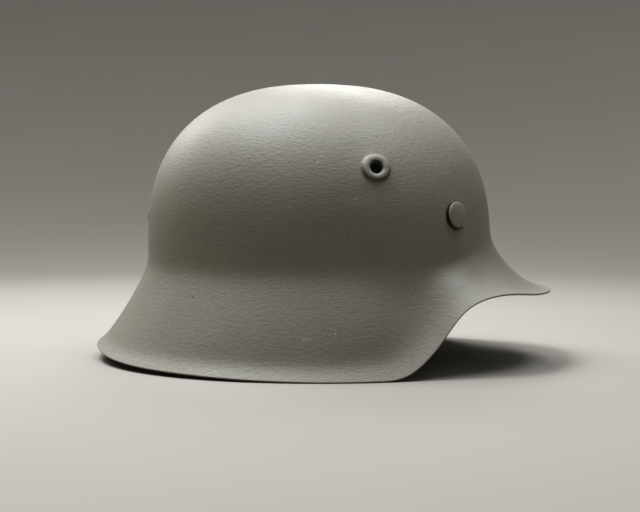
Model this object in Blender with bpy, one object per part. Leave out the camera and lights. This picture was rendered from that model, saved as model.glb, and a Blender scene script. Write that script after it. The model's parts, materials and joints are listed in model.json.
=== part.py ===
"""A pressed steel combat helmet: one thin shell with a visor and a flared skirt, two air vents and three rivets.

The visor points to -Y and +Z is up. The helmet stands on the lowest part of its rim, at the origin.
"""
import functools
import math

import bmesh
import bpy
import numpy as np
from mathutils import Vector

# Shell, outside sizes in metres
CROWN_LENGTH = 0.2190       # front to back at the waist, where the crown is widest
CROWN_WIDTH = 0.1900        # side to side at the waist
CROWN_HEIGHT = 0.0994       # top of the crown above the waist
WAIST_HEIGHT = 0.0730       # waist above the lowest part of the rim
BRIM_REACH = 0.0385         # how far the visor stands out in front of the crown
VISOR_HEIGHT = 0.0433       # edge of the visor above the lowest part of the rim
LIP_WIDTH = 0.0120          # turned out strip along the cut edge
WALL = 0.0012               # sheet steel
PLAN_FULLNESS = 2.1         # 2 is a true ellipse seen from above, more is boxier

# Air vents, pressed into both sides
VENT_HOLE_DIAMETER = 0.0066
VENT_RING_DIAMETER = 0.0190
VENT_CREST = 0.0019         # top of the raised ring above the sheet
VENT_ANGLE = 61.0           # degrees from the front
VENT_LIFT = 0.448           # share of the crown's height above the waist

# Rivets that held the liner
HEAD_DIAMETER = 0.0153
HEAD_THICKNESS = 0.0027
SHANK_DIAMETER = 0.0050
LEG_SPAN = 0.0240           # tip to tip of the two legs, spread flat inside
LEG_WIDTH = 0.0052
LEG_THICKNESS = 0.0010
CLEARANCE = 0.0003          # between a rivet and the shell

# Rivet name: degrees from the front, share of the crown's height above the waist
RIVETS = {
    "rivet_front_right": (32.3, 0.176),
    "rivet_front_left": (-32.3, 0.176),
    "rivet_rear": (180.0, 0.160),
}

# Sections of the shell, keyed by degrees from the front. reach is a share of BRIM_REACH, rise of VISOR_HEIGHT and
# neck, where the skirt starts to flare, of WAIST_HEIGHT. lean and lip are degrees from the vertical at the lip's
# start and end, and strip is the lip's width as a share of LIP_WIDTH. hold and sweep say how long the skirt stays
# upright below the neck and straight above the lip, as shares of its height and length. fullness is the roundness of
# the crown, 2 for an ellipse.
SECTION_COLUMNS = ("reach", "rise", "neck", "lean", "lip", "strip", "hold", "sweep", "fullness")
SECTIONS = {
    0: (1.00, 1.00, 1.09, 76, 81, 0.60, 0.32, 0.32, 2.40),
    16: (0.93, 1.00, 1.02, 67, 76, 0.70, 0.42, 0.32, 2.34),
    30: (0.79, 1.05, 0.90, 60, 69, 0.90, 0.50, 0.22, 2.26),
    42: (0.61, 0.84, 0.86, 44, 57, 1.30, 0.44, 0.24, 2.25),
    50: (0.59, 0.37, 0.86, 29, 46, 1.50, 0.36, 0.38, 2.27),
    58: (0.61, 0.06, 0.86, 17, 42, 1.50, 0.28, 0.45, 2.29),
    68: (0.61, 0.00, 0.82, 12, 42, 1.30, 0.16, 0.45, 2.31),
    82: (0.63, 0.00, 0.80, 14, 44, 1.10, 0.10, 0.45, 2.31),
    110: (0.71, 0.03, 0.79, 19, 46, 1.10, 0.09, 0.45, 2.34),
    144: (0.80, 0.09, 0.80, 30, 49, 1.00, 0.08, 0.45, 2.41),
    180: (0.86, 0.21, 0.82, 38, 52, 0.85, 0.06, 0.45, 2.44),
}
PEAK_SLOPE = 0.35           # how much of its slope a column keeps at a row that is a peak or a hollow

# Pressed ring of a vent, from the sheet to the edge of the hole. radius is a share of the way from the hole's edge
# to the ring's outer edge, height a share of VENT_CREST. The first ring only eases the mesh round the vent.
VENT_COLUMNS = ("radius", "height")
VENT_PROFILE = (
    (1.36, 0.00), (1.00, 0.00), (0.92, 0.05), (0.79, 0.56), (0.64, 0.90),
    (0.40, 1.00), (0.18, 0.84), (0.07, 0.42), (0.00, -0.25),
)

# Rivet head from the middle of its top to its drawn in lower edge: shares of the head's radius and thickness
HEAD_COLUMNS = ("radius", "height")
HEAD_PROFILE = ((0.45, 0.98), (0.76, 0.92), (0.92, 0.82), (0.98, 0.70), (1.00, 0.57), (0.93, 0.36), (0.74, 0.00))

# Mesh density
CAP_STEPS = 10              # quads from the top of the crown to the edge of its square-gridded cap
COLUMNS = 8 * CAP_STEPS
CROWN_SHIFTS = {2: -0.18, 3: -0.04, 4: 0.24}    # waves that bring columns of the crown to its vents and rivets
RIM_SHIFTS = {3: 0.34, 4: 0.06}                 # waves that draw them together below, where the rim swings up
CAP_SHARE = 0.445           # share of the crown's outline that the cap covers
CROWN_ROWS = 10
SKIRT_ROWS = 7
LIP_ROWS = 3
PATCH_REACH = 2             # quads on each side of a hole that make room for its round patch
PATCH_SIDES = 8 * PATCH_REACH
RIVET_SIDES = 24
OUTLINE_STEPS = 48

STEEL = {"colour": (0.135, 0.135, 0.120, 1.0), "roughness": 0.62, "metallic": 0.25}
RIVET_STEEL = {"colour": (0.150, 0.150, 0.138, 1.0), "roughness": 0.58, "metallic": 0.25}


def section_slopes(marks, values):
    """Slope of a column at each of its rows: level at the front and the back, and gentle where it peaks."""
    rates = [(b - a) / (q - p) for a, b, p, q in zip(values, values[1:], marks, marks[1:])]
    slopes = [0.0] * len(marks)
    for i in range(1, len(marks) - 1):
        before, after = marks[i] - marks[i - 1], marks[i + 1] - marks[i]
        slopes[i] = (rates[i - 1] * after + rates[i] * before) / (before + after)
        if rates[i - 1] * rates[i] <= 0:
            slopes[i] *= PEAK_SLOPE
    return slopes


MARKS = sorted(SECTIONS)
COLUMN_VALUES = {name: [SECTIONS[mark][i] for mark in MARKS] for i, name in enumerate(SECTION_COLUMNS)}
COLUMN_SLOPES = {name: section_slopes(MARKS, values) for name, values in COLUMN_VALUES.items()}


def section_values(angle):
    """Every column of the sections at an angle in radians, on smooth curves through the rows."""
    turn = abs((math.degrees(angle) + 180.0) % 360.0 - 180.0)
    i = max(k for k in range(len(MARKS) - 1) if MARKS[k] <= turn)
    width = MARKS[i + 1] - MARKS[i]
    t = (turn - MARKS[i]) / width
    start, end = (1 + 2 * t) * (1 - t) ** 2, t * t * (3 - 2 * t)
    leave, arrive = width * t * (1 - t) ** 2, -width * t * t * (1 - t)
    found = {}
    for name, values in COLUMN_VALUES.items():
        slopes = COLUMN_SLOPES[name]
        found[name] = start * values[i] + end * values[i + 1] + leave * slopes[i] + arrive * slopes[i + 1]
    return found


def crown_radius(angle):
    """Outer radius of the crown at the waist."""
    across = abs(math.sin(angle)) / (CROWN_WIDTH / 2)
    along = abs(math.cos(angle)) / (CROWN_LENGTH / 2)
    return (across ** PLAN_FULLNESS + along ** PLAN_FULLNESS) ** (-1 / PLAN_FULLNESS)


def crown_outline(radius, neck, fullness):
    """From the top of the crown down to the neck, where the flare starts: columns are radius and height."""
    above = max(neck - WAIST_HEIGHT, 0.0) / CROWN_HEIGHT
    end = math.atan2((1 - above ** fullness) ** (1 / fullness), above)
    turn = np.linspace(0.0, end, OUTLINE_STEPS + 1)
    size = (np.sin(turn) ** fullness + np.abs(np.cos(turn)) ** fullness) ** (-1 / fullness)
    dome = np.column_stack((radius * size * np.sin(turn), WAIST_HEIGHT + CROWN_HEIGHT * size * np.cos(turn)))
    return np.vstack((dome, (dome[-1, 0], min(neck, dome[-1, 1]))))


def lip_outline(edge, lean, lip, width):
    """The turned out strip, ending at the cut edge: it bends from the skirt's lean to the lip's own."""
    steps = (np.arange(LIP_ROWS * 3) + 0.5) / (LIP_ROWS * 3)
    headings = lean + (lip - lean) * np.minimum(1.0, 1.6 * steps)
    moves = np.column_stack((np.sin(headings), -np.cos(headings))) * width / len(steps)
    path = np.vstack(((0.0, 0.0), np.cumsum(moves, axis=0)))
    return path + np.array(edge) - path[-1]


def skirt_outline(top, foot, lean, hold, sweep):
    """From the neck to the lip: a curve that leaves the neck straight down and meets the lip at its lean."""
    height = top[1] - foot[1]
    chord = math.dist(top, foot)
    upper = np.array((top[0], top[1] - height * hold))
    lower = np.array(foot) - np.array((math.sin(lean), -math.cos(lean))) * chord * sweep
    t = np.linspace(0.0, 1.0, OUTLINE_STEPS + 1)[:, None]
    return (1 - t) ** 3 * top + 3 * (1 - t) ** 2 * t * upper + 3 * (1 - t) * t ** 2 * lower + t ** 3 * foot


@functools.lru_cache(maxsize=None)
def section_outline(angle):
    """The section at one angle as its three stretches, crown, skirt and lip: each with its run, radii and heights."""
    value = section_values(angle)
    radius = crown_radius(angle)
    lean, lip = math.radians(value["lean"]), math.radians(value["lip"])
    crown = crown_outline(radius, value["neck"] * WAIST_HEIGHT, value["fullness"])
    edge = (radius + value["reach"] * BRIM_REACH, value["rise"] * VISOR_HEIGHT)
    strip = lip_outline(edge, lean, lip, value["strip"] * LIP_WIDTH)
    skirt = skirt_outline(crown[-1], strip[0], lean, value["hold"], value["sweep"])
    stretches = []
    for outline in (crown, skirt, strip):
        steps = np.hypot(*np.diff(outline, axis=0).T)
        stretches.append((np.concatenate(((0.0,), np.cumsum(steps))), outline[:, 0], outline[:, 1]))
    return stretches


def shell_point(angle, course):
    """A point of the outer face. course runs down a section: 0 to 1 crown, 1 to 2 skirt, 2 to 3 lip."""
    stretch = min(int(course), 2)
    run, radii, heights = section_outline(angle)[stretch]
    mark = (course - stretch) * run[-1]
    radius = np.interp(mark, run, radii)
    return Vector((-radius * math.sin(angle), -radius * math.cos(angle), np.interp(mark, run, heights)))


def course_at_height(angle, height):
    """How far down the crown's outline a height is reached."""
    low, high = 0.0, 1.0
    for _ in range(40):
        middle = (low + high) / 2
        if shell_point(angle, middle).z > height:
            low = middle
        else:
            high = middle
    return (low + high) / 2


class Site:
    """A round place on the crown, with its own flat axes: side, up and out."""

    STEP = 0.02
    CLOSE = 3e-6

    def __init__(self, degrees, lift):
        self.angle = math.radians(degrees)
        self.course = course_at_height(self.angle, WAIST_HEIGHT + lift * CROWN_HEIGHT)
        self.centre = shell_point(self.angle, self.course)
        across = shell_point(self.angle + self.STEP, self.course) - shell_point(self.angle - self.STEP, self.course)
        down = shell_point(self.angle, self.course + self.STEP) - shell_point(self.angle, self.course - self.STEP)
        self.out = down.cross(across).normalized()
        if self.out.dot(self.centre) < 0:
            self.out.negate()
        self.side = Vector((0, 0, 1)).cross(self.out).normalized()
        self.up = self.out.cross(self.side)
        rates = np.array(((across.dot(self.side), down.dot(self.side)), (across.dot(self.up), down.dot(self.up))))
        self.inverse = np.linalg.inv(rates / (2 * self.STEP))

    def point(self, x, y, height):
        """The point above the outer face at x, y of the site's axes, the height measured along its out axis."""
        angle, course = self.angle, self.course
        for _ in range(12):
            found = shell_point(angle, course)
            miss = found - self.centre
            turn, slide = self.inverse @ (x - miss.dot(self.side), y - miss.dot(self.up))
            angle, course = angle + turn, course + slide
            if abs(turn) + abs(slide) < self.CLOSE:
                break
        return found + self.out * height

    def ring(self, sides, radius, height, outline=None):
        """Points round the site. outline gives the radius at each turn, where the ring isn't round."""
        turns = [2 * math.pi * k / sides for k in range(sides)]
        radii = [outline(turn) if outline else radius for turn in turns]
        return [self.point(r * math.cos(turn), r * math.sin(turn), height) for r, turn in zip(radii, turns)]

    def flat_ring(self, sides, radius, height):
        """Points round the site that lie in one plane."""
        turns = [2 * math.pi * k / sides for k in range(sides)]
        middle = self.centre + self.out * height
        return [middle + (self.side * math.cos(turn) + self.up * math.sin(turn)) * radius for turn in turns]


def column_angle(turn, course):
    """Angle of a column, in radians, for its even share of the full turn. Below the crown the columns drift."""
    drift = min(max(course - 1.0, 0.0), 1.0)
    angle = turn
    for shifts, share in ((CROWN_SHIFTS, 1.0 - drift), (RIM_SHIFTS, drift)):
        angle += share * sum(amount / wave * math.sin(wave * turn) for wave, amount in shifts.items())
    return angle


def row_courses():
    """Courses of the rows below the cap."""
    crown = [CAP_SHARE + (1 - CAP_SHARE) * i / CROWN_ROWS for i in range(CROWN_ROWS)]
    skirt = [1 + i / SKIRT_ROWS for i in range(SKIRT_ROWS)]
    lip = [2 + i / LIP_ROWS for i in range(LIP_ROWS + 1)]
    return crown + skirt + lip


def cap_turn(u, v):
    """Direction of a grid point of the square cap, so that its border falls on the columns."""
    if abs(u) >= abs(v):
        return math.pi / 4 * v / u + (math.pi if u < 0 else 0.0)
    return math.pi / 2 - math.pi / 4 * u / v + (math.pi if v < 0 else 0.0)


def add_cap(bm):
    """The top of the crown as a square grid without a pole. Returns its border, in the order of the columns."""
    span = range(-CAP_STEPS, CAP_STEPS + 1)
    grid, border = {}, {}
    for u in span:
        for v in span:
            steps = max(abs(u), abs(v))
            turn = cap_turn(u, v) if steps else 0.0
            course = CAP_SHARE * steps / CAP_STEPS
            grid[u, v] = bm.verts.new(shell_point(column_angle(turn, course), course))
            if steps == CAP_STEPS:
                border[round(turn / (2 * math.pi) * COLUMNS) % COLUMNS] = grid[u, v]
    for u in span[:-1]:
        for v in span[:-1]:
            bm.faces.new((grid[u, v], grid[u, v + 1], grid[u + 1, v + 1], grid[u + 1, v]))
    return [border[k] for k in range(COLUMNS)]


def join_rings(bm, first, second):
    """Quads between two rings of as many vertices."""
    for k in range(len(first)):
        after = (k + 1) % len(first)
        bm.faces.new((first[k], first[after], second[after], second[k]))


def block_round(site, courses):
    """The middle row and column of the block of quads that a site's patch takes the place of."""
    row = min(range(len(courses)), key=lambda i: abs(courses[i] - site.course))
    angles = [column_angle(2 * math.pi * k / COLUMNS, site.course) for k in range(COLUMNS)]
    column = min(range(COLUMNS), key=lambda k: abs(math.remainder(angles[k] - site.angle, 2 * math.pi)))
    return row, column


def block_border():
    """Border of a block of quads as columns and rows from its middle, in order round it."""
    side = range(-PATCH_REACH, PATCH_REACH)
    top = [(step, -PATCH_REACH) for step in side]
    right = [(PATCH_REACH, step) for step in side]
    bottom = [(-step, PATCH_REACH) for step in side]
    left = [(-PATCH_REACH, -step) for step in side]
    return top + right + bottom + left


def run_beside(points, border):
    """The points of a ring, started and turned so that they run beside a border of as many vertices."""
    count = len(points)
    start = min(range(count), key=lambda k: (points[k] - border[0].co).length)
    way = min((1, -1), key=lambda step: (points[(start + step) % count] - border[1].co).length)
    return [points[(start + way * k) % count] for k in range(count)]


def add_patch(bm, rows, middle, rings):
    """Fills a block of quads round a hole with rings, from the block's border to the edge of the hole."""
    row, column = middle
    loop = [rows[row + down][(column + right) % COLUMNS] for right, down in block_border()]
    for points in rings:
        inner = [bm.verts.new(point) for point in run_beside(points, loop)]
        join_rings(bm, loop, inner)
        loop = inner


def vent_rings(site):
    """Rings of a vent's pressed edge."""
    hole, ring = VENT_HOLE_DIAMETER / 2, VENT_RING_DIAMETER / 2
    rings = []
    for radius, height in VENT_PROFILE:
        rings.append(site.ring(PATCH_SIDES, hole + (ring - hole) * radius, VENT_CREST * height))
    return rings


def hole_rings(site):
    """Rings round a rivet's plain hole."""
    head, hole = HEAD_DIAMETER / 2, SHANK_DIAMETER / 2 + CLEARANCE
    return [site.ring(PATCH_SIDES, radius, 0.0) for radius in (head, (head + hole) / 2, hole)]


def finish_object(bm, name, look, location):
    """Turns a bmesh into a smooth shaded object with its own material, standing at its place."""
    bmesh.ops.recalc_face_normals(bm, faces=bm.faces[:])
    mesh = bpy.data.meshes.new(name)
    bm.to_mesh(mesh)
    bm.free()
    mesh.shade_smooth()
    mesh.set_sharp_from_angle(angle=math.radians(50))
    material = bpy.data.materials.new(name + "_paint")
    material.use_nodes = True
    shader = material.node_tree.nodes["Principled BSDF"]
    shader.inputs["Base Color"].default_value = look["colour"]
    shader.inputs["Roughness"].default_value = look["roughness"]
    shader.inputs["Metallic"].default_value = look["metallic"]
    mesh.materials.append(material)
    piece = bpy.data.objects.new(name, mesh)
    piece.location = location
    bpy.context.collection.objects.link(piece)
    return piece


def make_shell(vents, rivets):
    """The pressed shell: its outer face with all holes, given its wall by a Solidify modifier."""
    bm = bmesh.new()
    courses = row_courses()
    turns = [2 * math.pi * k / COLUMNS for k in range(COLUMNS)]
    rows = [add_cap(bm)]
    for course in courses[1:]:
        rows.append([bm.verts.new(shell_point(column_angle(turn, course), course)) for turn in turns])
    patches = [(block_round(site, courses), vent_rings(site)) for site in vents]
    patches += [(block_round(site, courses), hole_rings(site)) for site in rivets]
    for row in range(len(rows) - 1):
        for column in range(COLUMNS):
            after = (column + 1) % COLUMNS
            if not any(in_block(middle, row, column) for middle, _ in patches):
                bm.faces.new((rows[row][column], rows[row][after], rows[row + 1][after], rows[row + 1][column]))
    for middle, rings in patches:
        add_patch(bm, rows, middle, rings)
    loose = [vert for vert in bm.verts if not vert.link_faces]
    bmesh.ops.delete(bm, geom=loose, context="VERTS")
    shell = finish_object(bm, "shell", STEEL, (0, 0, 0))
    wall = shell.modifiers.new("wall", "SOLIDIFY")
    wall.thickness = WALL
    wall.offset = -1
    wall.use_even_offset = True
    return shell


def in_block(middle, row, column):
    """Whether a quad of the grid lies in the block that a patch takes the place of."""
    side = (column - middle[1] + PATCH_REACH) % COLUMNS
    return side < 2 * PATCH_REACH and -PATCH_REACH <= row - middle[0] < PATCH_REACH


def leg_outline(turn):
    """Radius of the two spread legs, one long rounded strip."""
    along, across = abs(math.cos(turn)) / (LEG_SPAN / 2), abs(math.sin(turn)) / (LEG_WIDTH / 2)
    return (along ** 4 + across ** 4) ** -0.25


def make_rivet(name, site):
    """A rivet: low domed head outside, shank through the hole, and two legs spread flat against the inner face.

    The legs meet in a flat foot as wide as the shank, where the liner's band bears.
    """
    head, shank = HEAD_DIAMETER / 2, SHANK_DIAMETER / 2
    inside = -WALL - CLEARANCE
    rings = [site.ring(RIVET_SIDES, head * r, CLEARANCE + HEAD_THICKNESS * h) for r, h in HEAD_PROFILE]
    rings += [site.ring(RIVET_SIDES, shank, height) for height in (CLEARANCE, inside)]
    rings += [site.ring(RIVET_SIDES, 0.0, height, leg_outline) for height in (inside, inside - LEG_THICKNESS)]
    rings.append(site.flat_ring(RIVET_SIDES, shank, inside - LEG_THICKNESS))
    ends = site.point(0, 0, CLEARANCE + HEAD_THICKNESS), site.point(0, 0, inside - LEG_THICKNESS)
    bm = bmesh.new()
    loops = [[bm.verts.new(point - site.centre) for point in ring] for ring in rings]
    for first, second in zip(loops, loops[1:]):
        join_rings(bm, first, second)
    for end, loop in zip(ends, (loops[0], loops[-1])):
        middle = bm.verts.new(end - site.centre)
        for k in range(RIVET_SIDES):
            bm.faces.new((middle, loop[k], loop[(k + 1) % RIVET_SIDES]))
    return finish_object(bm, name, RIVET_STEEL, site.centre)


def stand_on_rim(shell, rivets):
    """Moves all pieces so that the shell's lowest point is at zero and its box is centred on the origin."""
    bpy.context.view_layer.update()
    mesh = shell.evaluated_get(bpy.context.evaluated_depsgraph_get()).to_mesh()
    corners = np.array([vert.co for vert in mesh.vertices])
    low, high = corners.min(axis=0), corners.max(axis=0)
    shift = Vector((-(low[0] + high[0]) / 2, -(low[1] + high[1]) / 2, -low[2]))
    for piece in [shell] + rivets:
        piece.location += shift


def main():
    for thing in list(bpy.data.objects):
        bpy.data.objects.remove(thing, do_unlink=True)
    vents = [Site(side * VENT_ANGLE, VENT_LIFT) for side in (1, -1)]
    sites = {name: Site(degrees, lift) for name, (degrees, lift) in RIVETS.items()}
    shell = make_shell(vents, list(sites.values()))
    rivets = [make_rivet(name, site) for name, site in sites.items()]
    stand_on_rim(shell, rivets)


main()
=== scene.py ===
"""Looks of a pressed steel combat helmet: painted shell and rivets, a pale floor, soft light and the camera.

The shell and the rivets are finer copies of the frame's solids. Metres, with the visor towards -Y and +Z up.
"""
import json
import math
from collections import namedtuple

import bpy
from bpy.props import FloatProperty, FloatVectorProperty, IntProperty, PointerProperty
from mathutils import Matrix, Vector
from mathutils.bvhtree import BVHTree

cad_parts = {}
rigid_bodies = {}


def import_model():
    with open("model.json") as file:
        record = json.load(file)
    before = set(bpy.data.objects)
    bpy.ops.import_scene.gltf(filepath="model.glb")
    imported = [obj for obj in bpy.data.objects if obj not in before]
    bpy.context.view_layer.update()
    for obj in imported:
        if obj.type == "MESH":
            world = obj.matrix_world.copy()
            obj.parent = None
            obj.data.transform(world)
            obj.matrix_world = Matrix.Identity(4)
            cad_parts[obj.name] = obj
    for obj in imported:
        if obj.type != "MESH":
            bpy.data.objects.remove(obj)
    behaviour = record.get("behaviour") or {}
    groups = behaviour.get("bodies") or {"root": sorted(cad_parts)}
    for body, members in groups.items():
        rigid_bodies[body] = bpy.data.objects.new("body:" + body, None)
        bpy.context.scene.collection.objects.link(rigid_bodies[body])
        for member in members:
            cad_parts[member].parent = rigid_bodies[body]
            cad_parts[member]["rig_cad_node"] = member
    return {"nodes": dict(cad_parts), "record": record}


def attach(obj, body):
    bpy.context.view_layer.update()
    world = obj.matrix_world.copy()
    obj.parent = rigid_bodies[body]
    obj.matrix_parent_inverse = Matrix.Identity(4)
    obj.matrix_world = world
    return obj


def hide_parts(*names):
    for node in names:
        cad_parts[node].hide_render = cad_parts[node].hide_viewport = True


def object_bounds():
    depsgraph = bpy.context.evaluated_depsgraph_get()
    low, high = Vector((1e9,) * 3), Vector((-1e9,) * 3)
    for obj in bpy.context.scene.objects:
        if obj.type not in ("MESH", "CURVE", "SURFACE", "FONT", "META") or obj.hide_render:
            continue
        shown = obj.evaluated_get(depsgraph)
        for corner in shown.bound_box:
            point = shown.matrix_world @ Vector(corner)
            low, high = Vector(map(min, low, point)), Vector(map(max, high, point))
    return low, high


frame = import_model()
CAD_LOW, CAD_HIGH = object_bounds()

bl_info = {
    "name": "Painted steel helmet",
    "version": (1, 0, 0),
    "blender": (4, 5, 0),
    "location": "3D View > Sidebar > Helmet",
    "description": "Builds the painted shell, its rivets and a plain studio round them",
    "category": "Object",
}

# The photograph's frame and what was worked out for its camera
IMAGE_WIDTH, IMAGE_HEIGHT = 640, 512
SENSOR_WIDTH = 36.0                 # millimetres
CROWN_AXIS = Vector((0.0, 0.0027, 0.0009))      # foot of the crown's own axis in the frame

# A small mark in the paint, centred on a pixel of the photograph, across and down. length and width are
# metres, tilt is degrees from level, and tone is what the mark does to the paint: + pale, - dark.
Mark = namedtuple("Mark", ("across", "down", "length", "width", "tilt", "tone"))
MARKS = {
    "rear_speck_high": Mark(159.4, 201.4, 0.0011, 0.0009, 0, -0.75),
    "rear_speck_low": Mark(159.2, 204.9, 0.0013, 0.0009, 15, -0.60),
    "crown_speck_high": Mark(250.8, 111.3, 0.0012, 0.0008, 0, -0.50),
    "crown_speck_low": Mark(231.7, 152.6, 0.0009, 0.0009, 0, -0.50),
    "crown_tick_high": Mark(321.0, 155.8, 0.0026, 0.0007, -25, 0.45),
    "crown_tick_low": Mark(317.2, 161.2, 0.0024, 0.0007, 20, 0.50),
    "crown_pit": Mark(376.6, 136.5, 0.0013, 0.0011, 0, -0.70),
    "crown_chip": Mark(355.5, 198.6, 0.0008, 0.0014, 0, 0.65),
    "side_tick": Mark(290.6, 206.9, 0.0022, 0.0008, -5, 0.30),
    "waist_speck": Mark(314.6, 282.3, 0.0010, 0.0010, 0, -0.50),
    "skirt_nick": Mark(193.1, 297.1, 0.0030, 0.0009, -20, -0.60),
    "ear_scratch": Mark(305.8, 338.7, 0.0050, 0.0011, 5, 0.40),
    "ear_speck": Mark(335.2, 333.7, 0.0010, 0.0010, 0, 0.65),
    "neck_speck": Mark(213.4, 358.7, 0.0010, 0.0009, 0, -0.60),
    "rim_speck": Mark(112.1, 350.1, 0.0016, 0.0011, 20, -0.55),
}
PALE_MARK = (0.32, 0.315, 0.29, 1.0)
DARK_MARK = (0.022, 0.021, 0.018, 1.0)
MARK_DEPTH = 0.00005
MARK_EDGE = 0.25                    # how gradually a mark ends, as a share of its size
WORN_EDGE = 0.0012                  # size of the bites in a mark's edge

# The vent on the right side, centred on a pixel of the photograph. VENT_CLEAR pixels away the sheet is plain.
VENT_ACROSS, VENT_DOWN, VENT_CLEAR = 375.4, 167.6, 19.0
RING_REACH = 0.0098                 # radius of the pressed ring with its foot
RING_EDGE = (1.1, 0.8)              # where its bumps begin and where they are whole, as shares of the radius
RING_BUMPS = 0.0030                 # size of a bump
RING_RAGGED = 0.00022               # height of a bump

# Painted shade round a vent or a rivet: a dark crescent where shadow falls below each vent's ring and each
# rivet's head, and a dark disc where the vent's hole lies in shade, each between two circles. outer and inner
# are their radii, drop and rise are how far their centres lie below and above the middle, in metres. It lies
# on the sheet's outer face only, but without an inner circle it is a disc that reaches through the sheet.
Crescent = namedtuple("Crescent", ("outer", "drop", "inner", "rise", "tone"))
# Painted shadow below the vents' rings and painted shade in their holes, and painted shadow round and below
# the rivets' heads
VENT_PAINTED_SHADE = (Crescent(0.0086, 0.0008, 0.0080, 0.0005, 0.85), Crescent(0.0039, 0.0, 0.0, 0.0, 0.97))
RIVET_PAINTED_SHADE = (Crescent(0.0084, 0.0010, 0.0010, 0.0, 0.97),)
# near-black colour of the painted shade
PAINTED_SHADE_COLOUR = (0.006, 0.0055, 0.005, 1.0)
ACROSS_SHEET = 0.02                # how far a disc of painted shade, and a pressed ring's oval, reaches across the sheet
SHADE_EDGE, SPARED_EDGE = 0.06, 0.12    # how gradually it ends at its outer and its inner circle
SHADE_FRINGE = 0.09                 # how far its edge strays, as a share of its radius
FACE_SWITCH = 0.01                  # how sharply the outer face is told from the inner one, in metres

# The paint's finish
LEVEL_STRETCH = (1.5, 1.5, 0.7)     # the pebbles run wider than high
RIPPLE_SIZE, RIPPLE_DEPTH = 2.6, 1.2    # the wider ripples, in sizes and heights of a pebble
CLOUD = 0.032                       # size of the soft patches in tone and dullness
CLOUD_TONE, CLOUD_DULLNESS = 0.04, 0.03
# Pale colour mixed into the paint on what faces upwards: painted light from the lamps above
PAINTED_TOP_LIGHT_COLOUR = (0.36, 0.355, 0.345, 1.0)
PAINTED_TOP_LIGHT_SLOPES = (-0.05, 0.6)          # the normal's upward part where the painted top light begins and where it is whole
RIVET_SHADE = 1.08                  # the rivets' paint against the shell's
SHARP_EDGE = math.radians(50)       # edges that are sharper than this are rounded

# The studio
FLOOR_SIDES, SWEEP_STEPS = 128, 16
FLOOR_GRAIN, FLOOR_CLOUD = 0.004, 0.25
FLOOR_RELIEF = 0.0001
AIR = (1.0, 0.98, 0.92, 1.0)        # the even light from all round, a little warm

# A soft square light. place and size are metres, power is watts.
Lamp = namedtuple("Lamp", ("place", "size", "power", "tint"))
LAMPS = {
    "high_rear": Lamp((0.0, 0.30, 1.00), 0.45, 18.0, (0.99, 1.0, 1.05)),
    "high_visor": Lamp((0.0, -0.30, 1.00), 0.45, 6.8, (0.99, 1.0, 1.05)),
    "behind": Lamp((0.50, 0.0, 0.60), 0.30, 3.0, (1.0, 1.0, 1.0)),
    "behind_rear": Lamp((0.30, 0.50, 0.50), 0.30, 2.7, (1.0, 1.0, 1.0)),
}


class HelmetShellSettings(bpy.types.PropertyGroup):
    """Finish of the pressed sheet"""
    edge_softness: FloatProperty(
        name="Edge softness", description="Rounding of the cut edges", default=0.00025,
        min=0.00005, max=0.0005, unit="LENGTH", precision=5)
    refinement: IntProperty(
        name="Refinement", description="How often the sheet is subdivided", default=2, min=1, max=2)
    waviness: FloatProperty(
        name="Waviness", description="How far the pressed sheet strays from its true curve", default=0.00014,
        min=0.0, max=0.0005, unit="LENGTH", precision=5)
    wave_length: FloatProperty(
        name="Wave length", description="Size of the waves in the sheet", default=0.055, min=0.01, max=0.2,
        unit="LENGTH")


class HelmetPaintSettings(bpy.types.PropertyGroup):
    """Colour and texture of the paint"""
    colour: FloatVectorProperty(
        name="Paint", description="Colour of the outer paint", default=(0.122, 0.117, 0.084),
        min=0.0, max=1.0, subtype="COLOR")
    roughness: FloatProperty(
        name="Roughness", description="Roughness of the dry paint", default=0.55, min=0.1, max=1.0,
        subtype="FACTOR")
    shine: FloatProperty(
        name="Shine", description="Strength of the paint's reflection", default=0.4, min=0.0, max=1.0,
        subtype="FACTOR")
    grain: FloatProperty(
        name="Grain", description="Size of a grain in the pebbled paint", default=0.0009,
        min=0.0002, max=0.01, unit="LENGTH", precision=4)
    grain_depth: FloatProperty(
        name="Grain depth", description="Height of the grain", default=0.00014, min=0.0, max=0.001,
        unit="LENGTH", precision=5)
    speckle: FloatProperty(
        name="Speckle", description="How much the grain's tone varies", default=0.13, min=0.0, max=0.5,
        subtype="FACTOR")
    # share of the pale colour on upward faces, painted light from above
    painted_light: FloatProperty(
        name="Painted_top_light", description="Share of pale dust on what faces upwards", default=0.10, min=0.0, max=1.0,
        subtype="FACTOR")


class HelmetRivetSettings(bpy.types.PropertyGroup):
    """The rivets' legs inside the shell"""
    leg_gap: FloatProperty(
        name="Leg gap", description="Width of the groove between the two spread legs", default=0.0014,
        min=0.0003, max=0.003, unit="LENGTH", precision=4)
    gap_length: FloatProperty(
        name="Gap length", description="How far the groove runs, past both sides of the foot", default=0.008,
        min=0.002, max=0.02, unit="LENGTH", precision=4)
    edge_softness: FloatProperty(
        name="Edge softness", description="Rounding of the legs' edges", default=0.00018,
        min=0.00005, max=0.0004, unit="LENGTH", precision=5)


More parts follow.
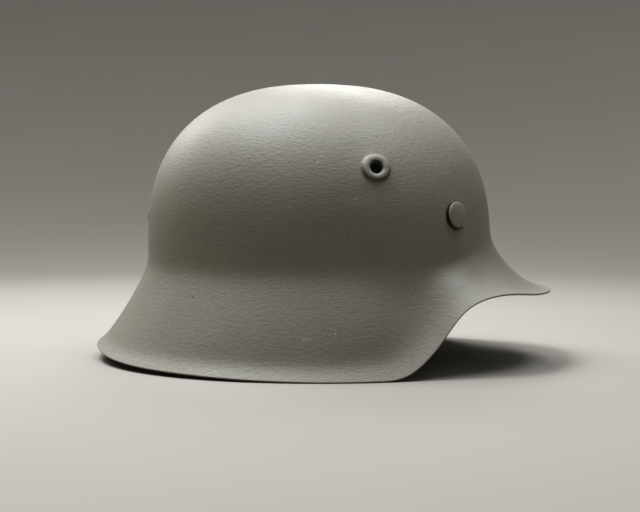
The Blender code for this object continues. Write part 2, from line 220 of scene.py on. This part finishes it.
class HelmetStageSettings(bpy.types.PropertyGroup):
    """Floor, even light and camera"""
    floor_colour: FloatVectorProperty(
        name="Floor", description="Colour of the floor and its sweep", default=(0.215, 0.203, 0.178),
        min=0.0, max=1.0, subtype="COLOR")
    floor_reach: FloatProperty(
        name="Floor reach", description="Radius of the flat floor", default=0.75, min=0.4, max=4.0,
        unit="LENGTH")
    sweep: FloatProperty(
        name="Sweep", description="Radius of the curve up to the wall", default=0.90, min=0.1, max=3.0,
        unit="LENGTH")
    camera_distance: FloatProperty(
        name="Camera distance", description="From the crown's axis to the camera", default=0.753,
        min=0.3, max=5.0, unit="LENGTH", precision=4)
    camera_height: FloatProperty(
        name="Camera height", description="Above the rim's lowest point", default=0.1041, min=0.0, max=2.0,
        unit="LENGTH", precision=4)
    camera_turn: FloatProperty(
        name="Camera turn", description="From the true side towards the front", default=math.radians(8.0),
        subtype="ANGLE")
    camera_pitch: FloatProperty(
        name="Camera pitch", description="How far the camera looks down", default=math.radians(3.15),
        subtype="ANGLE")
    focal_pixels: FloatProperty(
        name="Focal length", description="Focal length in pixels of the photograph", default=1167.1,
        min=200.0, max=5000.0)
    centre_across: FloatProperty(
        name="Picture centre", description="Where the camera's axis meets the picture, in pixels across",
        default=318.5, min=0.0, max=640.0)
    ambient: FloatProperty(
        name="Ambient", description="Strength of the even light from all round", default=0.30,
        min=0.0, max=5.0)


def deselect():
    """Leaves object mode with nothing selected and nothing active."""
    if bpy.context.object and bpy.context.object.mode != "OBJECT":
        bpy.ops.object.mode_set(mode="OBJECT")
    bpy.ops.object.select_all(action="DESELECT")


def activate(piece):
    """Makes one object the only selected and the active one."""
    deselect()
    piece.select_set(True)
    bpy.context.view_layer.objects.active = piece


def apply_modifier(piece, kind, **values):
    """Adds a modifier with these values and applies it."""
    activate(piece)
    modifier = piece.modifiers.new(kind.lower(), kind)
    for name, value in values.items():
        setattr(modifier, name, value)
    bpy.ops.object.modifier_apply(modifier=modifier.name)


def quad_copy(node, name):
    """A copy of a solid of the frame with its loose triangles merged and paired into quads."""
    activate(frame["nodes"][node])
    bpy.ops.object.duplicate()
    piece = bpy.context.active_object
    piece.name = name
    piece.data.name = name
    del piece["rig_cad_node"]
    bpy.ops.object.mode_set(mode="EDIT")
    bpy.ops.mesh.select_all(action="SELECT")
    bpy.ops.mesh.remove_doubles(threshold=1e-5)
    bpy.ops.mesh.customdata_custom_splitnormals_clear()
    bpy.ops.mesh.mark_sharp(clear=True)
    bpy.ops.mesh.tris_convert_to_quads(face_threshold=math.radians(60), shape_threshold=math.radians(80))
    bpy.ops.object.mode_set(mode="OBJECT")
    return piece


def soften_edges(piece, width):
    """Rounds every sharp edge."""
    activate(piece)
    bpy.ops.object.mode_set(mode="EDIT")
    bpy.ops.mesh.select_mode(type="EDGE")
    bpy.ops.mesh.select_all(action="DESELECT")
    bpy.ops.mesh.edges_select_sharp(sharpness=SHARP_EDGE)
    bpy.ops.mesh.bevel(offset=width, segments=2, profile=0.5)
    bpy.ops.object.mode_set(mode="OBJECT")


def settle(piece, node, material):
    """Gives a finished piece its material and its place in the frame, where it stands for a solid."""
    activate(piece)
    piece.data.materials.clear()
    piece.data.materials.append(material)
    bpy.ops.object.shade_smooth()
    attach(piece, "root")
    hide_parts(node)


class Nodes:
    """A material's node tree, built by adding nodes with their values and links in one call."""

    def __init__(self, name):
        self.material = bpy.data.materials.new(name)
        self.material.use_nodes = True
        self.tree = self.material.node_tree
        self.tree.nodes.clear()
        self.place = self.add("ShaderNodeTexCoord").outputs["Object"]

    def add(self, kind, settings=None, **inputs):
        """A node. settings are its properties, inputs its sockets by name, each a value or an output."""
        node = self.tree.nodes.new(kind)
        for name, value in (settings or {}).items():
            setattr(node, name, value)
        for name, value in inputs.items():
            self.feed(node.inputs[name.replace("_", " ")], value)
        return node

    def feed(self, socket, value):
        """Links an output to a socket, or sets the socket's own value."""
        if isinstance(value, bpy.types.NodeSocket):
            self.tree.links.new(value, socket)
        else:
            socket.default_value = value

    def math(self, operation, *values):
        """Output of a Math node."""
        node = self.tree.nodes.new("ShaderNodeMath")
        node.operation = operation
        for socket, value in zip(node.inputs, values):
            self.feed(socket, value)
        return node.outputs[0]

    def ramp(self, value, low, high, to_low=0.0, to_high=1.0):
        """A value mapped smoothly from one range to another, and held at its ends."""
        node = self.add("ShaderNodeMapRange", {"interpolation_type": "SMOOTHSTEP"})
        for socket, number in zip(node.inputs, (value, low, high, to_low, to_high)):
            self.feed(socket, number)
        return node.outputs["Result"]

    def mix(self, share, first, second):
        """A colour between two colours."""
        node = self.add("ShaderNodeMix", {"data_type": "RGBA"})
        for socket, value in ((node.inputs[0], share), (node.inputs[6], first), (node.inputs[7], second)):
            self.feed(socket, value)
        return node.outputs[2]

    def noise(self, size, stretch=(1.0, 1.0, 1.0), detail=2.0, roughness=0.5, shift=(0.0, 0.0, 0.0)):
        """Noise with features of a size in metres, longer along an axis whose stretch is above 1."""
        scale = [1.0 / (size * amount) for amount in stretch]
        mapping = self.add("ShaderNodeMapping", Vector=self.place, Location=shift, Scale=scale)
        noise = self.add("ShaderNodeTexNoise", Vector=mapping.outputs[0], Scale=1.0, Detail=detail,
                         Roughness=roughness)
        return noise.outputs["Fac"]

    def reach(self, place):
        """How far from a place's middle the surface lies: 1 at the edge of an oval with its half sizes."""
        spot, turn, sizes = place
        mapping = self.add("ShaderNodeMapping", {"vector_type": "TEXTURE"}, Vector=self.place, Location=spot,
                           Rotation=turn, Scale=sizes)
        length = self.add("ShaderNodeVectorMath", {"operation": "LENGTH"}, Vector=mapping.outputs[0])
        return length.outputs["Value"]


def camera_frame():
    """Place of the camera and its three axes: across, up and forward."""
    stage = bpy.context.scene.helmet_stage
    turn, pitch = stage.camera_turn, stage.camera_pitch
    back = Vector((-math.cos(turn), -math.sin(turn), 0.0))
    place = CROWN_AXIS + back * stage.camera_distance + Vector((0.0, 0.0, stage.camera_height))
    forward = -back * math.cos(pitch) - Vector((0.0, 0.0, math.sin(pitch)))
    across = forward.cross(Vector((0.0, 0.0, 1.0))).normalized()
    return place, across, across.cross(forward), forward


def see(tree, across, down):
    """The point of the shell that a pixel of the photograph shows, and its normal."""
    stage = bpy.context.scene.helmet_stage
    place, right, up, forward = camera_frame()
    x = (across - stage.centre_across) / stage.focal_pixels
    y = (IMAGE_HEIGHT / 2 - down) / stage.focal_pixels
    spot, normal, _, _ = tree.ray_cast(place, forward + right * x + up * y)
    if spot is None:
        raise RuntimeError("a pixel misses the shell")
    return spot, normal


def sheet_axes(normal, tilt=0.0):
    """Axes that lie level, upwards and out of the sheet, as a matrix. tilt turns them in it, in radians."""
    level = Vector((0.0, 0.0, 1.0)).cross(normal).normalized()
    level.rotate(Matrix.Rotation(tilt, 3, normal))
    return Matrix((level, normal.cross(level), normal)).transposed()


def find_mark(tree, mark):
    """Where a mark lies on the shell: centre, turn and half sizes, the last of them across the sheet."""
    spot, normal = see(tree, mark.across, mark.down)
    turn = sheet_axes(normal, math.radians(mark.tilt)).to_euler()
    return spot, turn, (mark.length / 2, mark.width / 2, mark.length / 2)


def find_vents(tree):
    """Middle and outward direction of both vents, from the plain sheet round the one that shows."""
    spots, normals = [], []
    for right, below in ((1, 0), (0, 1), (-1, 0), (0, -1)):
        spot, normal = see(tree, VENT_ACROSS + VENT_CLEAR * right, VENT_DOWN + VENT_CLEAR * below)
        spots.append(spot)
        normals.append(normal)
    middle = sum(spots, Vector()) / len(spots)
    out = sum(normals, Vector()).normalized()
    mirror = Vector((-1.0, 1.0, 1.0))
    return [(middle, out), (middle * mirror, out * mirror)]


def find_ring(middle, out):
    """Where a pressed ring lies, as a place like a mark's."""
    return middle, sheet_axes(out).to_euler(), (RING_REACH, RING_REACH, ACROSS_SHEET)


def find_painted_shade(vents):
    """Every crescent and disc of painted shade: its two circles, as places like a mark's, and its tone."""
    sites = [(middle, out, VENT_PAINTED_SHADE) for middle, out in vents]
    for mount in frame["record"]["mounts"]:
        sites.append((Vector(mount["pos_m"]), -Vector(mount["axis"]), RIVET_PAINTED_SHADE))
    found = []
    for middle, out, rows in sites:
        axes = sheet_axes(out)
        turn, up = axes.to_euler(), axes.col[1]
        for row in rows:
            whole = (middle - up * row.drop, turn, (row.outer, row.outer, ACROSS_SHEET))
            spared = None
            if row.inner:
                spared = (middle + up * row.rise, turn, (row.inner, row.inner, ACROSS_SHEET))
            found.append((whole, spared, row.tone))
    return found


def build_paint(name, marks=(), painted_shade=(), rings=(), shade=1.0):
    """Dry, finely pebbled paint with small marks, painted shade round the vents and rivets, paler upward
    faces as painted light from above, and uneven pressed rings.
    """
    paint = bpy.context.scene.helmet_paint
    nodes = Nodes(name)
    normal = nodes.add("ShaderNodeNewGeometry").outputs["Normal"]
    pebbles = nodes.noise(paint.grain, stretch=LEVEL_STRETCH, detail=1.5, roughness=0.6)
    clouds = nodes.noise(CLOUD, detail=3.0, roughness=0.55, shift=(1.0, 9.0, 4.0))
    ragged = nodes.ramp(nodes.noise(WORN_EDGE, detail=2.0, shift=(8.0, 8.0, 2.0)), 0.2, 0.8, -0.5, 0.5)
    colour = paint_colour(nodes, pebbles, clouds, normal, shade)
    relief = paint_relief(nodes, pebbles)
    for place, tone in marks:
        colour, relief = add_mark(nodes, place, tone, ragged, colour, relief)
    relief = add_rings(nodes, rings, relief)
    colour = add_painted_shade(nodes, painted_shade, ragged, normal, colour)
    bump = nodes.add("ShaderNodeBump", Strength=1.0, Distance=1.0, Height=relief)
    dull = nodes.ramp(clouds, 0.3, 0.7, paint.roughness - CLOUD_DULLNESS, paint.roughness + CLOUD_DULLNESS)
    shader = nodes.add("ShaderNodeBsdfPrincipled", Base_Color=colour, Roughness=dull, Normal=bump.outputs[0])
    shader.inputs["Specular IOR Level"].default_value = paint.shine
    nodes.add("ShaderNodeOutputMaterial", Surface=shader.outputs[0])
    return nodes.material


def paint_colour(nodes, pebbles, clouds, normal, shade):
    """The plain paint, whose pebbles and soft patches vary in tone, made paler on what faces upwards as
    painted light from above.
    """
    paint = bpy.context.scene.helmet_paint
    patches = nodes.ramp(clouds, 0.25, 0.75, 1 - CLOUD_TONE, 1 + CLOUD_TONE)
    speckles = nodes.ramp(pebbles, 0.25, 0.75, -paint.speckle, paint.speckle)
    plain = [amount * shade for amount in paint.colour]
    varied = nodes.add("ShaderNodeVectorMath", {"operation": "SCALE"}, Vector=plain,
                       Scale=nodes.math("ADD", patches, speckles))
    upward = nodes.add("ShaderNodeSeparateXYZ", Vector=normal).outputs["Z"]
    # upward faces are made paler: painted light from above
    return nodes.mix(nodes.ramp(upward, *PAINTED_TOP_LIGHT_SLOPES, 0.0, paint.painted_light), varied.outputs[0], PAINTED_TOP_LIGHT_COLOUR)


def paint_relief(nodes, pebbles):
    """Height of the paint in metres: its pebbles, over wider ripples."""
    paint = bpy.context.scene.helmet_paint
    ripples = nodes.noise(paint.grain * RIPPLE_SIZE, stretch=LEVEL_STRETCH, detail=1.0,
                          shift=(3.0, 1.0, 7.0))
    return nodes.math("ADD", nodes.math("MULTIPLY", pebbles, paint.grain_depth),
                      nodes.math("MULTIPLY", ripples, paint.grain_depth * RIPPLE_DEPTH))


def add_mark(nodes, place, tone, ragged, colour, relief):
    """Lays a small mark over the paint's colour and relief."""
    inside = nodes.ramp(nodes.math("ADD", nodes.reach(place), ragged), 1 + MARK_EDGE, 1 - MARK_EDGE)
    target = PALE_MARK if tone > 0 else DARK_MARK
    marked = nodes.mix(nodes.math("MULTIPLY", inside, abs(tone)), colour, target)
    dent = nodes.math("MULTIPLY", inside, -MARK_DEPTH)
    return marked, nodes.math("ADD", relief, dent)


def add_rings(nodes, rings, relief):
    """Makes the pressed rings uneven."""
    bumps = nodes.math("MULTIPLY", nodes.noise(RING_BUMPS, detail=2.0, shift=(5.0, 2.0, 6.0)), RING_RAGGED)
    for place in rings:
        inside = nodes.ramp(nodes.reach(place), *RING_EDGE)
        relief = nodes.math("ADD", relief, nodes.math("MULTIPLY", inside, bumps))
    return relief


def add_painted_shade(nodes, painted_shade, ragged, normal, colour):
    """Lays every crescent and disc of painted shade over the paint's colour."""
    fringe = nodes.math("MULTIPLY", ragged, SHADE_FRINGE)
    away = nodes.add("ShaderNodeVectorMath", {"operation": "DOT_PRODUCT"}, Vector=normal)
    nodes.feed(away.inputs[1], nodes.place)
    outside = nodes.ramp(away.outputs["Value"], -FACE_SWITCH, FACE_SWITCH)
    for whole, spared, tone in painted_shade:
        within = nodes.math("ADD", nodes.reach(whole), fringe)
        shaded = nodes.ramp(within, 1 + SHADE_EDGE, 1 - SHADE_EDGE, 0.0, tone)
        if spared:
            beyond = nodes.math("ADD", nodes.reach(spared), fringe)
            beyond = nodes.ramp(beyond, 1 - SPARED_EDGE, 1 + SPARED_EDGE)
            shaded = nodes.math("MULTIPLY", nodes.math("MULTIPLY", shaded, beyond), outside)
        # darkens the paint where shadow falls: painted shade
        colour = nodes.mix(shaded, colour, PAINTED_SHADE_COLOUR)
    return colour


def part_legs(piece, mount, gap, length):
    """Cuts the round groove between the two legs of a rivet, upright across the middle of its foot."""
    axis = Vector(mount["axis"]).normalized()
    upright = axis.cross(Vector((0.0, 0.0, 1.0)).cross(axis)).normalized()
    deselect()
    bpy.ops.mesh.primitive_cylinder_add(vertices=16, radius=gap / 2, depth=length, location=mount["pos_m"],
                                        rotation=upright.to_track_quat("Z", "Y").to_euler())
    cutter = bpy.context.active_object
    apply_modifier(piece, "BOOLEAN", object=cutter, operation="DIFFERENCE", solver="EXACT")
    bpy.data.objects.remove(cutter)


class HELMET_OT_shell(bpy.types.Operator):
    """Refine the pressed shell, soften its cut edges and paint it"""
    bl_idname = "helmet.shell"
    bl_label = "Painted shell"

    def execute(self, context):
        settings = context.scene.helmet_shell
        piece = quad_copy("shell", "painted_shell")
        soften_edges(piece, settings.edge_softness)
        apply_modifier(piece, "SUBSURF", levels=settings.refinement, render_levels=settings.refinement,
                       boundary_smooth="ALL", use_limit_surface=False)
        waves = bpy.data.textures.new("sheet_waves", "CLOUDS")
        waves.cloud_type = "COLOR"
        waves.noise_scale = settings.wave_length
        apply_modifier(piece, "DISPLACE", texture=waves, texture_coords="LOCAL", direction="RGB_TO_XYZ",
                       strength=settings.waviness * 2, mid_level=0.5)
        bpy.data.textures.remove(waves)
        tree = BVHTree.FromObject(piece, context.evaluated_depsgraph_get())
        marks = [(find_mark(tree, mark), mark.tone) for mark in MARKS.values()]
        vents = find_vents(tree)
        rings = [find_ring(middle, out) for middle, out in vents]
        # the shell's paint carries the painted shade round the vents and rivets
        paint = build_paint("shell_paint", marks, find_painted_shade(vents), rings)
        settle(piece, "shell", paint)
        return {"FINISHED"}


class HELMET_OT_rivets(bpy.types.Operator):
    """Refine the three liner rivets, part their legs and paint them"""
    bl_idname = "helmet.rivets"
    bl_label = "Rivets"

    def execute(self, context):
        settings = context.scene.helmet_rivets
        paint = build_paint("rivet_paint", shade=RIVET_SHADE)
        for mount in frame["record"]["mounts"]:
            node = mount["name"].replace("liner", "rivet")
            piece = quad_copy(node, "painted_" + node)
            part_legs(piece, mount, settings.leg_gap, settings.gap_length)
            soften_edges(piece, settings.edge_softness)
            apply_modifier(piece, "SUBSURF", levels=2, render_levels=2)
            settle(piece, node, paint)
        return {"FINISHED"}


class HELMET_OT_stage(bpy.types.Operator):
    """Set up the floor with its sweep, the soft lights and the camera"""
    bl_idname = "helmet.stage"
    bl_label = "Floor, lights and camera"

    def execute(self, context):
        build_floor()
        build_lights()
        build_camera()
        context.scene.view_settings.view_transform = "Standard"
        return {"FINISHED"}


def build_floor():
    """A round floor whose border sweeps up to a low wall, without an edge to be seen."""
    stage = bpy.context.scene.helmet_stage
    deselect()
    bpy.ops.mesh.primitive_circle_add(vertices=FLOOR_SIDES, radius=stage.floor_reach, fill_type="NGON")
    floor = bpy.context.active_object
    floor.name = "studio_floor"
    bpy.ops.object.mode_set(mode="EDIT")
    bpy.ops.mesh.select_all(action="SELECT")
    bpy.ops.mesh.region_to_loop()
    radius, height = stage.floor_reach, 0.0
    for step in range(1, SWEEP_STEPS + 1):
        angle = math.pi / 2 * step / SWEEP_STEPS
        wider = stage.floor_reach + stage.sweep * math.sin(angle)
        higher = stage.sweep * (1 - math.cos(angle))
        bpy.ops.mesh.extrude_edges_move(TRANSFORM_OT_translate={"value": (0.0, 0.0, higher - height)})
        growth = wider / radius
        bpy.ops.transform.resize(value=(growth, growth, 1.0), center_override=(0.0, 0.0, 0.0))
        radius, height = wider, higher
    bpy.ops.object.mode_set(mode="OBJECT")
    bpy.ops.object.shade_smooth()
    nodes = Nodes("floor_paper")
    grain = nodes.noise(FLOOR_GRAIN, detail=4.0)
    tone = nodes.ramp(nodes.noise(FLOOR_CLOUD, detail=2.0), 0.3, 0.7, 0.985, 1.015)
    colour = nodes.add("ShaderNodeVectorMath", {"operation": "SCALE"}, Vector=list(stage.floor_colour),
                       Scale=tone)
    relief = nodes.math("MULTIPLY", grain, FLOOR_RELIEF)
    bump = nodes.add("ShaderNodeBump", Strength=0.3, Distance=1.0, Height=relief)
    shader = nodes.add("ShaderNodeBsdfPrincipled", Base_Color=colour.outputs[0], Roughness=0.9,
                       Normal=bump.outputs[0])
    nodes.add("ShaderNodeOutputMaterial", Surface=shader.outputs[0])
    floor.data.materials.append(nodes.material)


def build_lights():
    """Square soft lights that face the middle of the helmet, and an even light from all round."""
    target = (CAD_LOW + CAD_HIGH) / 2
    for name, light in LAMPS.items():
        deselect()
        bpy.ops.object.light_add(type="AREA", location=light.place)
        lamp = bpy.context.active_object
        lamp.name = name
        lamp.data.shape = "SQUARE"
        lamp.data.size = light.size
        lamp.data.energy = light.power
        lamp.data.color = light.tint
        lamp.visible_camera = False
        lamp.rotation_euler = (target - Vector(light.place)).to_track_quat("-Z", "Y").to_euler()
    world = bpy.data.worlds.new("studio_air")
    world.use_nodes = True
    background = world.node_tree.nodes["Background"]
    background.inputs["Color"].default_value = AIR
    background.inputs["Strength"].default_value = bpy.context.scene.helmet_stage.ambient
    bpy.context.scene.world = world


def build_camera():
    """The camera at the photograph's place, with the small shift that its framing needs."""
    stage = bpy.context.scene.helmet_stage
    place, across, up, forward = camera_frame()
    deselect()
    bpy.ops.object.camera_add(location=place, rotation=forward.to_track_quat("-Z", "Y").to_euler())
    camera = bpy.context.active_object
    camera.name = "photo_camera"
    camera.data.sensor_width = SENSOR_WIDTH
    camera.data.lens = stage.focal_pixels / IMAGE_WIDTH * SENSOR_WIDTH
    camera.data.shift_x = (IMAGE_WIDTH / 2 - stage.centre_across) / IMAGE_WIDTH
    camera.data.clip_start = 0.01
    bpy.context.scene.camera = camera


class HELMET_PT_panel(bpy.types.Panel):
    """Sizes and colours of the helmet, and the buttons that build it"""
    bl_idname = "HELMET_PT_panel"
    bl_label = "Steel helmet"
    bl_space_type = "VIEW_3D"
    bl_region_type = "UI"
    bl_category = "Helmet"

    def draw(self, context):
        for pointer, label, operators in PANEL_ROWS:
            box = self.layout.box()
            box.label(text=label)
            settings = getattr(context.scene, pointer)
            for name in settings.__annotations__:
                box.prop(settings, name)
            for operator in operators:
                box.operator(operator)


PANEL_ROWS = (
    ("helmet_stage", "Studio", ("helmet.stage",)),
    ("helmet_paint", "Paint", ()),
    ("helmet_shell", "Shell", ("helmet.shell",)),
    ("helmet_rivets", "Rivets", ("helmet.rivets",)),
)
SETTINGS = {
    "helmet_shell": HelmetShellSettings,
    "helmet_paint": HelmetPaintSettings,
    "helmet_rivets": HelmetRivetSettings,
    "helmet_stage": HelmetStageSettings,
}
CLASSES = (*SETTINGS.values(), HELMET_OT_shell, HELMET_OT_rivets, HELMET_OT_stage, HELMET_PT_panel)


def register():
    """Registers the settings, the operators and the panel."""
    for each in CLASSES:
        bpy.utils.register_class(each)
    for pointer, group in SETTINGS.items():
        setattr(bpy.types.Scene, pointer, PointerProperty(type=group))


def unregister():
    """Takes away what register added."""
    for pointer in SETTINGS:
        delattr(bpy.types.Scene, pointer)
    for each in reversed(CLASSES):
        bpy.utils.unregister_class(each)


def main():
    """Builds the scene."""
    register()
    bpy.ops.helmet.stage()
    bpy.ops.helmet.shell()
    bpy.ops.helmet.rivets()


if __name__ == "__main__":
    main()
